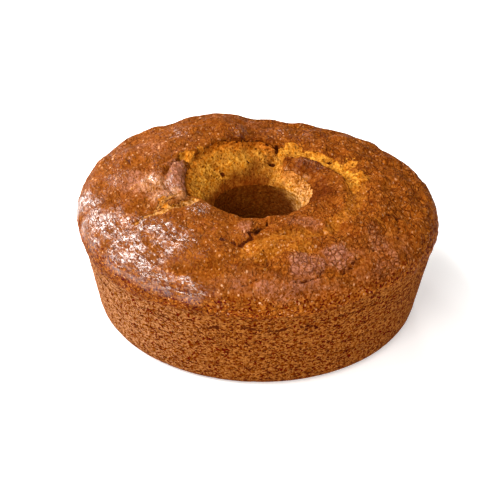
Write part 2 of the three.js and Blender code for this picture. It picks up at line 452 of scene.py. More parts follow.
def smooth_noise(points, length, channel):
    """Smooth noise from about -1 to 1, with lumps about a length apart."""
    scaled = points / length
    cell = np.floor(scaled).astype(np.int64)
    local = scaled - cell
    ease = local**3 * (local * (local * 6 - 15) + 10)
    total = np.zeros(len(points))
    for corner in np.ndindex(2, 2, 2):
        gradient = cell_vector(cell + corner, channel) * 2 - 1
        weight = np.where(corner, ease, 1 - ease).prod(axis=-1)
        total += weight * ((local - corner) * gradient).sum(axis=-1)
    return total * 1.6


def noise(points, length, octaves, channel):
    total = np.zeros(len(points))
    for octave in range(octaves):
        total += smooth_noise(points, length / 2**octave, channel + octave) / 2**octave
    return total


def ridges(points, length, crest, steepness, channel):
    """Winding ridges that fall from their crest on both sides."""
    return crest - steepness * np.abs(noise(points, length, 2, channel))


def scattered_cells(points, length, channel):
    """Distance to the nearest scattered point, in lengths, and a random value of that point."""
    scaled = points / length
    home = np.floor(scaled).astype(np.int64)
    nearest = np.full(len(points), np.inf)
    value = np.zeros(len(points))
    for offset in np.ndindex(3, 3, 3):
        cell = home + offset - 1
        distance = np.linalg.norm(cell + cell_vector(cell, channel) - scaled, axis=-1)
        closer = distance < nearest
        nearest = np.where(closer, distance, nearest)
        value = np.where(closer, cell_value(cell, 3 * channel + 7), value)
    return nearest, value


# Smooth form of the cake

def swell(angle, swells):
    total = 0.0
    for centre, spread, size in swells:
        turn = (angle - centre + 180) % 360 - 180
        total = total + size * bell(turn, spread)
    return total


def mouth_radius(angle):
    turn = (angle + 90) % 360 - 90
    bounds, radii = MOUTH.T
    place = np.clip(np.searchsorted(bounds, turn, side="right") - 1, 0, len(bounds) - 2)
    return mix(radii[place], radii[place + 1], step(turn, bounds[place], bounds[place + 1]))


def between(angle, start, end):
    """1 round the ring from one soft bound to the other, and 0 beyond them."""
    turn = angle % 360
    return step(turn, *start) - step(turn, *end)


def torn_share(angle):
    """1 where the mouth is torn open at the back, 0 where the crust rolls into the hole."""
    return between(angle, TEAR_START, TEAR_END)


def ragged_mouth(angle):
    """Radius of the mouth with its torn edge, which is more ragged at the back."""
    turn = np.radians(angle)
    ring = MOUTH_RING * np.stack([np.cos(turn), np.sin(turn), 0 * turn], axis=-1)
    ragged = MOUTH_RAGGED + TORN_RAGGED * torn_share(angle)
    return mouth_radius(angle) + ragged * noise(ring, 8, 3, 40)


def dome_lift(angle):
    return HIGH_RISE * between(angle, HIGH_START, HIGH_END) + swell(angle, DOME_SWELLS)


def dome_height(radius):
    curve = np.where(radius > CREST_RADIUS, OUTER_CURVE, INNER_CURVE)
    return CREST_HEIGHT - curve * (radius - CREST_RADIUS) ** 2


def at(angle, radius, height):
    return np.stack([radius + 0 * angle, height + 0 * angle], axis=-1)


def crust_points(angle):
    """Points of the crust's curve at each angle, from the wall's top over the dome to the tube."""
    lift = dome_lift(angle)
    mouth = ragged_mouth(angle)
    lip_round = mix(LIP_ROUND, TORN_LIP_ROUND, torn_share(angle))
    wall_radius = CORNER_RADIUS + WALL_SLOPE * WALL_TOP
    edge_radius = EDGE_RADIUS - swell(angle, EDGE_INSETS)
    edge_height = EDGE_HEIGHT + swell(angle, EDGE_SWELLS)
    shoulder_height = dome_height(SHOULDER_RADIUS) + lift
    points = []
    for i in range(FLARE_POINTS + 1):
        part = i / FLARE_POINTS
        out = math.sin(math.radians(FLARE_TURN * part)) / math.sin(math.radians(FLARE_TURN))
        points.append((mix(wall_radius, edge_radius, out), mix(WALL_TOP, edge_height, part)))
    for turn in SHOULDER_TURNS:
        radius = mix(edge_radius, SHOULDER_RADIUS, 1 - math.cos(math.radians(turn)))
        points.append((radius, mix(edge_height, shoulder_height, math.sin(math.radians(turn)))))
    for i in range(DOME_POINTS):
        radius = mix(SHOULDER_RADIUS, mouth + lip_round, i / (DOME_POINTS - 1))
        points.append((radius, dome_height(radius) + lift))
    lip_height = dome_height(mouth) + lift - LIP_DROP / 3
    under_radius = mouth - lip_round / 2
    under_height = lip_height - LIP_DROP * 2 / 3
    points += [(mouth, lip_height), (under_radius, under_height)]
    for i in range(1, FUNNEL_POINTS + 1):
        part = i / FUNNEL_POINTS
        points.append((mix(under_radius, TUBE_RADIUS, part), mix(under_height, TUBE_TOP, part)))
    return np.stack([at(angle, *point) for point in points])


def spline_rows(points, rows_per_span):
    """Rows of a curve through the points, so many in each span."""
    rows = []
    last = len(points) - 1
    for i, count in enumerate(rows_per_span):
        before, start, end, after = (points[min(max(i + k, 0), last)] for k in (-1, 0, 1, 2))
        leave, arrive = (end - before) / 2, (after - start) / 2
        for t in np.arange(1, count + 1) / count:
            rows.append(
                (2 * start - 2 * end + leave + arrive) * t**3
                + (-3 * start + 3 * end - 2 * leave - arrive) * t**2
                + leave * t
                + start
            )
    return rows


def section_rows(angle):
    """Rows of the closed section, each with its radius and height at every angle."""

    def line(start, end, count, ease=1.0):
        return [mix(start, end, (i / count) ** ease) for i in range(1, count + 1)]

    crust = crust_points(angle)
    tube_foot = at(angle, TUBE_RADIUS + TUBE_SPREAD, TUBE_FOOT_ROUND)
    base_inside = at(angle, TUBE_RADIUS + TUBE_SPREAD + TUBE_FOOT_ROUND, 0)
    base_outside = at(angle, CORNER_RADIUS - FOOT_ROUND, 0)
    corner = at(angle, CORNER_RADIUS, 0)
    wall_foot = at(angle, CORNER_RADIUS + WALL_SLOPE * FOOT_ROUND, FOOT_ROUND)
    foot = []
    for t in np.arange(1, FOOT_ROWS + 1) / FOOT_ROWS:
        foot.append(mix(mix(base_outside, corner, t), mix(corner, wall_foot, t), t))
    spans = [FLARE_ROWS] * FLARE_POINTS + [SHOULDER_ROWS] * SHOULDER_SPANS
    spans += [DOME_ROWS] * (DOME_POINTS - 1) + [LIP_ROWS] * 2 + [FUNNEL_ROWS] * FUNNEL_POINTS
    rows = line(base_inside, base_outside, BASE_ROWS) + foot
    rows += line(wall_foot, crust[0], WALL_ROWS) + spline_rows(crust, spans)
    rows += line(crust[-1], tube_foot, TUBE_ROWS, TUBE_EASE)
    rows += line(tube_foot, base_inside, TUBE_FOOT_ROWS)
    return np.stack(rows, axis=1)


def grid_normals(grid):
    along = np.roll(grid, -1, axis=1) - np.roll(grid, 1, axis=1)
    round_ring = np.roll(grid, -1, axis=0) - np.roll(grid, 1, axis=0)
    normals = np.cross(round_ring, along)
    return normals / np.linalg.norm(normals, axis=-1, keepdims=True)


# Shapes drawn on the top

def near_route(x, y, route):
    """Distance to a route over the top, and how far along it that is (0 to 1)."""
    best = np.full(len(x), np.inf)
    along = np.zeros(len(x))
    for i, ((ax, ay), (bx, by)) in enumerate(zip(route, route[1:])):
        span = (bx - ax) ** 2 + (by - ay) ** 2
        part = np.clip(((x - ax) * (bx - ax) + (y - ay) * (by - ay)) / span, 0, 1)
        distance = np.hypot(x - mix(ax, bx, part), y - mix(ay, by, part))
        along = np.where(distance < best, (i + part) / (len(route) - 1), along)
        best = np.minimum(distance, best)
    return best, along


def lump_height(x, y):
    height = np.zeros_like(x)
    for i in range(LUMP_WAVES):
        turn = math.radians(GOLDEN_ANGLE * i)
        across = x * math.cos(turn) + y * math.sin(turn)
        length = LUMP_LENGTH / (1 + i / 3)
        height += LUMP_HEIGHT * np.sin(2 * math.pi * across / length + i * i)
    return height


def lobe_gap(x, y, gap):
    """Depth of the torn gap behind a lobe, and how bare its crumb is."""
    start, end = gap["angles"]
    angle = np.degrees(np.arctan2(y, x))
    middle = (start + end) / 2
    turn = (angle - middle + 180) % 360 - 180 + middle
    part = (turn - start) / (end - start)
    inside = step(part, 0, 0.12) * fade(part, 0.75, 1)
    clipped = np.clip(part, 0, 1)
    offset = np.hypot(x, y) - mix(*gap["radius"], clipped) - swell(angle, gap["bulges"])
    width = mix(*gap["width"], clipped)
    soft = mix(*gap["soft"], clipped)
    shape = step(offset, -GAP_STEP / 2, GAP_STEP / 2)
    shape = shape * fade(offset, width - soft / 2, width + soft / 2)
    return mix(*gap["depth"], clipped) * shape * inside, step(shape, 0.1, 0.5) * inside


def oval_distance(x, y, centre, half, turn):
    """0 in the middle of a turned oval and 1 on its outline."""
    turn = math.radians(turn)
    dx, dy = x - centre[0], y - centre[1]
    across = (dx * math.cos(turn) + dy * math.sin(turn)) / half[0]
    along = (dy * math.cos(turn) - dx * math.sin(turn)) / half[1]
    return np.hypot(across, along)


def spots(x, y, places):
    """1, or its strength, in the middle of each place, falling to 0 at its radius."""
    value = np.zeros_like(x)
    for (spot_x, spot_y), radius, *strength in places:
        near = fade(np.hypot(x - spot_x, y - spot_y) / radius, 0.4, 1.1)
        value = np.maximum(value, math.prod(strength) * near)
    return value


class Surface:
    """The fine surface: its grid of points, and a value of each mask at every point."""

    def __init__(self):
        angle = 360 * np.arange(COLUMNS) / COLUMNS
        section = section_rows(angle)
        self.rows = section.shape[1]
        turn = np.radians(angle)[:, None]
        radius, height = section[..., 0], section[..., 1]
        grid = np.stack([radius * np.cos(turn), radius * np.sin(turn), height], axis=-1)
        self.normals = grid_normals(grid).reshape(-1, 3)
        self.points = grid.reshape(-1, 3)
        self.angle = np.repeat(angle, self.rows)
        self.radius = radius.reshape(-1)
        steps = np.linalg.norm(np.diff(section, axis=1), axis=-1)
        along = np.concatenate([np.zeros((COLUMNS, 1)), np.cumsum(steps, axis=1)], axis=1)
        self.below = (along - along[:, [MOUTH_ROW]]).reshape(-1)
        self.fall = np.zeros(len(self.points))
        self.masks = {"dark": np.zeros(len(self.points))}

    def cover(self, mask, value):
        """Raise a mask to a value where that is more."""
        self.masks[mask] = np.maximum(self.masks[mask], value)

    def shifted(self, length, size, channel):
        """Places over the top, shifted so that drawn outlines come out ragged."""
        shift = [noise(self.points, length, 3, channel + 4 * axis) for axis in range(2)]
        return self.points[:, 0] + size * shift[0], self.points[:, 1] + size * shift[1]


def make_side_masks(s):
    """Where the porous side, the tube's skin and its painted shade, and the torn crumb of the hole show.
    """
    points, masks, angle = s.points, s.masks, s.angle
    x, y, z = points.T
    outside = step(s.radius, *OUTSIDE)
    above_base = step(z, *BASE_END)
    end = CRUST_END + swell(angle, CRUST_END_SWELLS)
    end = end + CRUST_END_RAGGED * noise(points, 11, 3, 60)
    soft = CRUST_END_SOFT + swell(angle, CRUST_END_SOFT_SWELLS)
    side = fade(z, end - soft, end + soft) * outside
    skin_top = TUBE_SKIN_TOP + swell(angle, TUBE_SKIN_SWELLS)
    skin_top = skin_top + TUBE_SKIN_RAGGED * noise(points, 13, 3, 62)
    soft = TUBE_SKIN_SOFT + swell(angle, TUBE_SKIN_SOFT_SWELLS)
    skin = fade(z, skin_top - soft, skin_top + soft) * (1 - outside)
    below = s.below + noise(points, 6, 2, 66)
    bare = np.maximum(torn_share(angle), swell(angle, BARE_LIP_SWELLS))
    inside = step(below, mix(2.0, -0.4, bare), mix(5.0, 0.8, bare))
    s.top = step(z, EDGE_HEIGHT, EDGE_HEIGHT + TOP_BLEND)
    s.recess = SIDE_RECESS * side * step(z, end - 16, end - 2)
    masks["side"] = np.maximum(side, (1 - outside) * (1 - above_base))
    masks["tube"] = skin * above_base
    masks["crumb"] = inside * (1 - masks["side"])
    masks["deep"] = step(below, 2, 13)
    # Painted light: paler crumb on the right inner face and a paler side on the left, as if lit from the
    # left
    masks["pale_and_lit"] = inside * swell(angle, LIT_CRUMB_SWELLS) + outside * step(-x, 10, 115)
    masks["band"] = bell(z - end + BAND_DROP, BAND_HALF) * outside
    masks["edge"] = step(z, end - 10, end - 5) * fade(z, 70, 78) * outside
    masks["amber"] = step(-x - 0.2 * y, -25, 30) * step(z, 62, 74)


def tear_gaps(s, x, y):
    for gap in LOBE_GAPS:
        depth, bare = lobe_gap(x, y, gap)
        s.fall = np.maximum(s.fall, depth)
        s.cover("crumb", gap["crumb"] * bare * s.top)
        # Painted shade on the floor of the gap
        s.cover("dark", gap["dark"] * bare * s.top)
        s.cover("deep", bare * s.top)


def bare_ends(s, x, y):
    ragged = noise(s.points, 5, 2, 74)
    for (end_x, end_y), radius, share, lower in BARE_ENDS:
        near = fade(np.hypot(x - end_x, y - end_y) / radius, 0.2, 1.1)
        s.fall = s.fall + lower * near
        bare = share * step(near + 0.5 * ragged, 0.35, 0.7) * s.top
        s.cover("crumb", bare)
        s.cover("deep", 0.7 * bare)


def open_cracks(s, x, y, broken):
    for route, halves, depths, darkness, crumb in CRACKS:
        distance, along = near_route(x, y, route)
        half = mix(*halves, along)
        reach = fade(distance / half, 0, 1)
        s.fall = np.maximum(s.fall, mix(*depths, along) * reach)
        bare = mix(*crumb, along) * step(reach, 0.15, 0.5) * s.top
        for mask in ("crumb", "deep", "pale_and_lit"):
            s.cover(mask, bare)
        # Painted shade in the crack's opening
        line = np.clip(1 - distance / (CRACK_REACH * half), 0, 1)
        s.cover("dark", mix(*darkness, along) * line * broken)


def raised_plates(s, x, y, broken):
    """Height and mauve tone of the older plates, partly a painted sheen, with painted shadow under their
    edges.
    """
    uneven = PLATE_UNEVEN * noise(s.points, 9, 3, 72)
    raised = np.zeros_like(x)
    bloom = np.zeros_like(x)
    for *oval, height, mauve in PLATES:
        distance = oval_distance(x, y, *oval) + uneven
        shape = fade(distance, *PLATE_EDGE)
        # Painted shadow: dark colour just outside each plate's lower edge, where it overhangs
        under = oval_distance(x - UNDERCUT, y + UNDERCUT, *oval) + uneven
        under = fade(under, *PLATE_EDGE) - shape
        raised = np.maximum(raised, height * shape)
        bloom = np.maximum(bloom, mauve * fade(distance, 0.5, 1.1))
        s.cover("dark", height * step(under, 0.4, 0.9) * broken)
    return raised, bloom


def golden_crust(x, y):
    golden = np.zeros_like(x)
    for route, half, strength in STRETCHED:
        distance, _ = near_route(x, y, route)
        golden = np.maximum(golden, strength * fade(distance / half, 0.35, 1.15))
    return golden


def glossy_crust(s, x, y, shiny, dull, patchy):
    left = step(-s.points[:, 0] - 0.1 * s.points[:, 1], 0, 45)
    gloss = left * mix(0.06 * patchy, 0.75 + 0.25 * patchy, shiny) * (1 - 0.85 * dull)
    gloss = np.maximum(gloss, SHEEN_SHARE * spots(x, y, SHEEN))
    return gloss * step(s.points[:, 2], 65, 72) * (1 - s.masks["crumb"])


def make_relief(s):
    """Gaps, cracks, plates, stretched crust and glossy patches over the top."""
    points, masks, top = s.points, s.masks, s.top
    narrow = s.shifted(*NARROW_SHIFT, 50)
    broad = s.shifted(*BROAD_SHIFT, 64)
    broken = top * step(noise(points, 5, 1, 68), -0.7, -0.2)
    patchy = step(noise(points, 16, 3, 70), -0.5, 0.4)
    tear_gaps(s, *narrow)
    bare_ends(s, *broad)
    open_cracks(s, *narrow, broken)
    raised, bloom = raised_plates(s, *broad, broken)
    for *oval, mauve in MAUVE:
        soft = fade(oval_distance(*broad, *oval), 0.2, 1.1)
        bloom = np.maximum(bloom, mauve * soft * mix(0.4, 1, patchy))
    knob = oval_distance(*broad, *KNOB)
    bloom = np.maximum(bloom, KNOB_MAUVE_AND_SHEEN * fade(knob, 0.7, 1))
    golden = golden_crust(*broad) * fade(raised, 0, 0.4) * top * (1 - masks["crumb"])
    shiny = spots(*broad, SHINY)
    dull = spots(*broad, DULL)
    masks["golden"] = golden
    masks["bloom"] = bloom * top
    masks["toasted"] = spots(*broad, DARKER_CRUST)
    masks["flap"] = spots(*broad, PALE_AND_HIGHLIT_SPOTS) * top
    masks["gloss"] = glossy_crust(s, *broad, shiny, dull, patchy) * (1 - 0.3 * bloom)
    height = lump_height(points[:, 0], points[:, 1]) - s.fall - STRETCH_DEPTH * golden + raised
    height += SHINY_RISE * shiny - DULL_FALL * dull
    height += KNOB_HEIGHT * np.sqrt(np.clip(1 - knob**2, 0, 1))
    s.points = points + np.stack([0 * top, 0 * top, top * height], axis=-1)


def crust_rise(s):
    """Wrinkles and blisters of the crust, with folds and creases inside its edge."""
    points, masks = s.points, s.masks
    x, y, z = points.T
    crust = step(z, 50, 64) * (1 - masks["side"]) * (1 - masks["crumb"])
    spoke = WRINKLE_RING * points[:, :2] / np.hypot(x, y)[:, None]
    out = s.radius - z
    wrinkle = ridges(np.column_stack([spoke, out]), WRINKLE_LENGTH, 1.0, 1.6, 80)
    crease = ridges(np.column_stack([spoke * 0.5, out]), CREASE_LENGTH, 0.4, 1.5, 88)
    fold = ridges(points * (1, 0.7, 1), FOLD_LENGTH, 0.5, 1.8, 86)
    blister = noise(points, BLISTER_LENGTH, 2, 84)
    rough = 0.6 + 0.4 * np.maximum(np.maximum(masks["gloss"], masks["bloom"]), masks["edge"])
    inner = s.top * fade(s.radius, 94, 108)
    left = step(-x + 0.3 * y, -10, 40)
    fold_height = mix(FOLD_HEIGHT, CALM_FOLD_HEIGHT, masks["amber"] * (1 - masks["gloss"]))
    fine = BLISTER_HEIGHT * blister + WRINKLE_HEIGHT * wrinkle - SKIN_DROP
    return crust * (rough * fine + inner * (fold_height * fold + CREASE_HEIGHT * left * crease))


def sponge_rise(s):
    """Sponge and pits of the crumb, and pores of the side."""
    points, masks = s.points, s.masks
    z = points[:, 2]
    sponge = noise(points, SPONGE_LENGTH, 3, 90)
    pit, size = scattered_cells(points, PIT_SPACING, 94)
    pits = fade(pit, 0.06, 0.06 + 0.36 * size**2)
    pore, size = scattered_cells(points * (1, 1, PORE_FLATNESS), PORE_SPACING, 98)
    pores = fade(pore, 0.06, 0.08 + 0.34 * size**2) * masks["side"]
    pores = pores * (1 - 0.8 * masks["edge"]) * (1 - masks["tube"] * fade(z, 42, 56))
    torn = np.maximum(masks["crumb"], 0.6 * masks["golden"])
    masks["pores"] = np.maximum(pores, pits * torn)
    masks["sponge"] = sponge
    rise = torn * (SPONGE_HEIGHT * sponge - PIT_DEPTH * pits) * (1 - 0.7 * masks["tube"])
    rise += SIDE_SPONGE_HEIGHT * masks["side"] * sponge
    return rise - PORE_DEPTH * pores * (1 + masks["band"])


def make_texture(s):
    """Skin, sponge, pores and air holes, the burnt dark line at the rim, and painted shade in the air
    holes and the line of pores below the edge.
    """
    points, angle = s.points, s.angle
    rise = crust_rise(s) + sponge_rise(s) - s.recess
    rise *= step(points[:, 2], 0.2, 3)
    for place, radius, depth in AIR_HOLES:
        distance = np.linalg.norm((points - place) * AIR_HOLE_SHAPE, axis=-1)
        hole = fade(distance, radius * 0.4, radius * 1.3)
        rise -= depth * hole
        # Painted shade inside the air hole
        s.cover("dark", hole)
    burnt = between(angle, BURNT_START, BURNT_END)
    burnt = burnt * step(noise(points, 2.6, 1, 102), -0.2, 0.4)
    s.cover("dark", BURNT_DARK * bell(s.below - BURNT_DROP, BURNT_HALF) * burnt)
    # Painted shade in the line of pores below the crust's edge
    line = step(noise(points * (1, 1, 2), 8, 3, 104), -0.3, 0.3)
    s.cover("dark", BAND_DARK * s.masks["band"] * line)
    s.points = points + s.normals * rise[:, None]


def surface_mesh(name, surface):
    """A closed quad mesh of the surface, with its masks as attributes and a grid map."""
    rows = surface.rows
    column, row = np.meshgrid(np.arange(COLUMNS), np.arange(rows), indexing="ij")
    after, above = (column + 1) % COLUMNS, (row + 1) % rows
    faces = np.stack(
        [column * rows + row, after * rows + row, after * rows + above, column * rows + above], axis=-1
    ).reshape(-1, 4)
    mesh = bpy.data.meshes.new(name)
    mesh.from_pydata((surface.points * MM).tolist(), [], faces.tolist())
    for mask, values in surface.masks.items():
        attribute = mesh.attributes.new(mask, "FLOAT", "POINT")
        attribute.data.foreach_set("value", values.astype(np.float32))
    steps = surface.points.reshape(COLUMNS, rows, 3)
    lengths = np.linalg.norm(np.roll(steps, -1, axis=1) - steps, axis=-1).mean(axis=0)
    height = np.concatenate([[0], np.cumsum(lengths)]) / lengths.sum()
    u = np.stack([column, column + 1, column + 1, column], axis=-1) / COLUMNS
    v = height[np.stack([row, row, row + 1, row + 1], axis=-1)]
    grid_map = mesh.uv_layers.new(name="OFBake")
    grid_map.data.foreach_set("uv", np.stack([u, v], axis=-1).astype(np.float32).ravel())
    mesh.shade_smooth()
    return mesh


# Materials

class Nodes:
    """Short ways to make and join a material's nodes, with its patterns kept here too."""

    def __init__(self, name):
        self.material = bpy.data.materials.new(name)
        self.material.use_nodes = True
        self.tree = self.material.node_tree
        self.shader = self.tree.nodes["Principled BSDF"]

    def put(self, socket, value):
        if isinstance(value, bpy.types.NodeSocket):
            self.tree.links.new(value, socket)
        elif isinstance(value, tuple) and len(value) == 3 and socket.type == "RGBA":
            socket.default_value = (*value, 1)
        else:
            socket.default_value = value

    def make(self, kind, output=0, inputs=None, **settings):
        node = self.tree.nodes.new(kind)
        for key, value in settings.items():
            setattr(node, key, value)
        for key, value in (inputs or {}).items():
            self.put(node.inputs[key], value)
        return node.outputs[output]

    def finish(self, inputs):
        for name, value in inputs.items():
            self.put(self.shader.inputs[name], value)
        return self.material

    def attribute(self, name):
        return self.make("ShaderNodeAttribute", "Fac", attribute_name=name)

    def math(self, operation, *values):
        return self.make("ShaderNodeMath", inputs=dict(enumerate(values)), operation=operation)

    def vector(self, operation, *values, output=0):
        return self.make("ShaderNodeVectorMath", output, dict(enumerate(values)), operation=operation)

    def chain(self, operation, first, *others):
        for other in others:
            first = self.math(operation, first, other)
        return first

    def product(self, *values):
        return self.chain("MULTIPLY", *values)

    def total(self, *values):
        return self.chain("ADD", *values)

    def most(self, *values):
        return self.chain("MAXIMUM", *values)

    def without(self, value):
        return self.math("SUBTRACT", 1.0, value)

    def centred(self, value):
        return self.math("SUBTRACT", value, 0.5)

    def blend(self, start, end, part):
        inputs = {"Factor": part, 6: start, 7: end}
        return self.make("ShaderNodeMix", 2, inputs, data_type="RGBA")

    def shade(self, colour, factor):
        return self.make("ShaderNodeVectorMath", 0, {0: colour, "Scale": factor}, operation="SCALE")

    def ramp(self, value, low, high, start=0.0, end=1.0):
        """A value's way from low to high, taken to the way from start to end."""
        inputs = {"Value": value, "From Min": low, "From Max": high, "To Min": start, "To Max": end}
        return self.make("ShaderNodeMapRange", 0, inputs)

    def bump(self, height):
        return self.make("ShaderNodeBump", 0, {"Height": height, "Distance": 1.0, "Strength": 1.0})

    def stretch(self, place, scale):
        return self.make("ShaderNodeMapping", 0, {"Vector": place, "Scale": scale})

    def noise(self, place, scale, detail, output=0):
        inputs = {"Vector": place, "Scale": scale, "Detail": detail}
        return self.make("ShaderNodeTexNoise", output, inputs)

    def voronoi(self, output, place, scale, **settings):
        return self.make("ShaderNodeTexVoronoi", output, {"Vector": place, "Scale": scale}, **settings)

    def crease(self, place, scale):
        """0 along winding lines and 1 between them."""
        across = self.math("ABSOLUTE", self.centred(self.noise(place, scale, 1)))
        return self.ramp(across, 0.0, 0.14)

    def cells(self, place, scale):
        """A random value from 0 to 1 in each small cell."""
        return self.make("ShaderNodeSeparateColor", 0, {"Color": self.voronoi("Color", place, scale)})

    def hollows(self, place, scale, smallest, largest):
        """1 in hollows of mixed sizes, most of them small, and 0 between them."""
        distance = self.voronoi("Distance", place, scale)
        size = self.make("ShaderNodeSeparateColor", 0, {"Color": distance.node.outputs["Color"]})
        reach = self.math("MULTIPLY_ADD", self.product(size, size), largest - smallest, smallest)
        return self.ramp(self.math("DIVIDE", distance, reach), 1.0, 0.8)

    def facets(self, place, scale):
        """Height of small flat facets, each tilted its own way."""
        cell = self.voronoi("Position", place, scale)
        tilt = self.vector("SUBTRACT", cell.node.outputs["Color"], (0.5, 0.5, 0.5))
        return self.vector("DOT_PRODUCT", tilt, self.vector("SUBTRACT", place, cell), output=1)

    def crackle(self, place, scale):
        """0 along the lines of a crackled skin and 1 on its plates."""
        edge = self.voronoi("Distance", place, scale, feature="DISTANCE_TO_EDGE")
        return self.ramp(edge, 0.015, 0.115)

    def ragged(self, mask, uneven, low, high):
        """A soft mask with a crisp, uneven outline."""
        return self.ramp(self.total(mask, uneven), low, high)

    def unrolled(self, place):
        """Places unrolled round the ring, stretched along it."""
        spoke = self.vector("MULTIPLY", place, (1, 1, 0))
        out = self.vector("LENGTH", spoke, output=1)
        up = self.make("ShaderNodeSeparateXYZ", 2, {0: place})
        across = self.make("ShaderNodeCombineXYZ", 0, {2: self.math("SUBTRACT", out, up)})
        spoke = self.vector("NORMALIZE", spoke)
        return self.vector("MULTIPLY_ADD", spoke, (WRINKLE_RING * MM,) * 3, across)


def make_places(n):
    """Places that the patterns are laid on: stretched, stirred, squashed or unrolled."""
    solid = n.make("ShaderNodeTexCoord", "Object")
    n.place = n.stretch(solid, PLACE_STRETCH)
    stir = n.noise(n.place, STIR_NOISE, 1, "Color")
    stir = n.vector("SUBTRACT", stir, (0.5, 0.5, 0.5))

    def moved(place, size):
        return n.vector("MULTIPLY_ADD", stir, (size,) * 3, place)

    n.stirred = moved(n.place, STIR)
    n.swayed = moved(n.place, SWAY)
    n.squashed = n.stretch(n.swayed, PORE_STRETCH)
    n.ring = n.unrolled(moved(solid, STIR))
    n.foil = n.unrolled(moved(solid, SWAY))


def make_patterns(n):
    n.broad = n.noise(n.place, BROAD_NOISE, 3)
    n.middle = n.noise(n.place, MIDDLE_NOISE, 3)
    n.fine = n.noise(n.place, FINE_NOISE, 3)
    n.wrinkle = n.noise(n.ring, WRINKLE_NOISE, 2)
    n.grain = n.cells(n.place, GRAIN_CELLS)
    n.creases = n.crease(n.stirred, CREASE_LINES)
    n.skin = n.crackle(n.foil, SKIN_CRACKLE)
    n.plates = n.crackle(n.stirred, PLATE_CRACKLE)
    tilts = [n.product(n.facets(n.foil, scale), share) for scale, share in FACETS]
    n.tilts = n.total(*tilts)
    n.speckled = n.ramp(n.masks["amber"], 0, 1, 1.0, 0.2)


def sharpen_masks(n):
    """Crisp, uneven outlines for the soft masks of the mesh."""
    masks = n.masks
    uneven = n.product(n.centred(n.fine), 1.2)
    for name, (low, high) in OUTLINES.items():
        masks[name] = n.ragged(masks[name], uneven, low, high)
    rougher = n.total(uneven, n.centred(n.middle))
    masks["side"] = n.ragged(masks["side"], rougher, 0.3, 0.7)
    masks["bloom"] = n.product(masks["bloom"], n.ragged(masks["bloom"], uneven, 0.0, 0.8))


def side_pores(n):
    masks = n.masks
    rounds = n.product(n.hollows(n.squashed, *ROUND_PORES), n.ramp(n.broad, 0.42, 0.56))
    dashes = n.hollows(n.squashed, *DASHES)
    dashes = n.product(dashes, n.ramp(n.middle, 0.40, 0.54, 0.6, 1))
    pinholes = n.product(n.hollows(n.place, *PINHOLES), 0.4)
    share = n.math("SUBTRACT", n.total(1.0, masks["band"]), n.product(masks["edge"], 0.25))
    pores = n.product(n.most(rounds, dashes, pinholes), share)
    pores = n.most(pores, n.product(masks["pores"], 0.3))
    return n.math("MINIMUM", pores, 1.0)


def skin_lines(n):
    """Lines of the crackled skin, in clusters and on the mauve crust."""
    lines = n.most(n.ramp(n.plates, 1, 0), n.product(n.ramp(n.skin, 1, 0), 0.6))
    clusters = n.ramp(n.total(n.middle, n.product(n.broad, 0.6)), 0.68, 0.84)
    clusters = n.most(clusters, n.masks["bloom"], n.product(n.speckled, 0.25))
    return n.product(lines, clusters, n.ramp(n.masks["golden"], 0, 1, 1.0, 0.4))


def crust_colour(n):
    masks, speckled, fine = n.masks, n.speckled, n.fine
    mottle = n.ramp(n.total(n.broad, n.middle), 1.06, 0.84, 0, 0.35)
    # Painted glints: pale dots on the crust, fewer where the glaze gives real gloss
    glint = n.product(
        n.hollows(n.swayed, *GLINTS),
        n.ramp(fine, 0.4, 0.55),
        n.ramp(speckled, 0.2, 1, 0.8, 0.45),
        n.ramp(masks["gloss"], 0.1, 0.6, 1.0, 0.3),
    )
    layers = [
        (CRUST_AMBER, masks["amber"]),
        (CRUST_DARK, n.product(mottle, speckled)),
        (CRUST_LIGHT, n.product(n.ramp(fine, 0.46, 0.62), speckled, 0.35)),
        (GOLDEN_CRUST, masks["golden"]),
        (MAUVE_AND_SHEEN_CRUST, masks["bloom"]),
        (CRUST_DARK, n.product(n.lines, n.ramp(speckled, 0.2, 1, 0.35, 0.9))),
        # Painted shade in the creases
        (CRUST_DARK, n.product(n.ramp(n.creases, 0.35, 0.0), speckled, 0.5)),
        (CRUST_PALE_HIGHLIGHT, glint),
        # Paler crust at the left tear, and painted highlights along the right lobe's edge
        (CRUST_PALE_HIGHLIGHT, n.product(masks["flap"], n.ramp(fine, 0.36, 0.60, 0.1, 0.6))),
    ]
    crust = CRUST_MID
    for layer, share in layers:
        crust = n.blend(crust, layer, share)
    # Painted shade and light of the wrinkles: darker in their hollows, lighter on their crests
    crust = n.shade(crust, n.ramp(n.wrinkle, 0.36, 0.64, 0.9, 1.1))
    return n.blend(crust, CRUST_DARK, masks["toasted"])


def side_colour(n):
    side = n.blend(SIDE_MID, SIDE_LIGHT, n.ramp(n.fine, 0.30, 0.70))
    # Painted light on the left of the side
    side = n.blend(side, SIDE_LIT_PALE, n.product(n.masks["pale_and_lit"], 0.7))
    # Painted shade inside the side's pores
    return n.blend(side, PORE_SHADE, n.product(n.pores, 0.95))


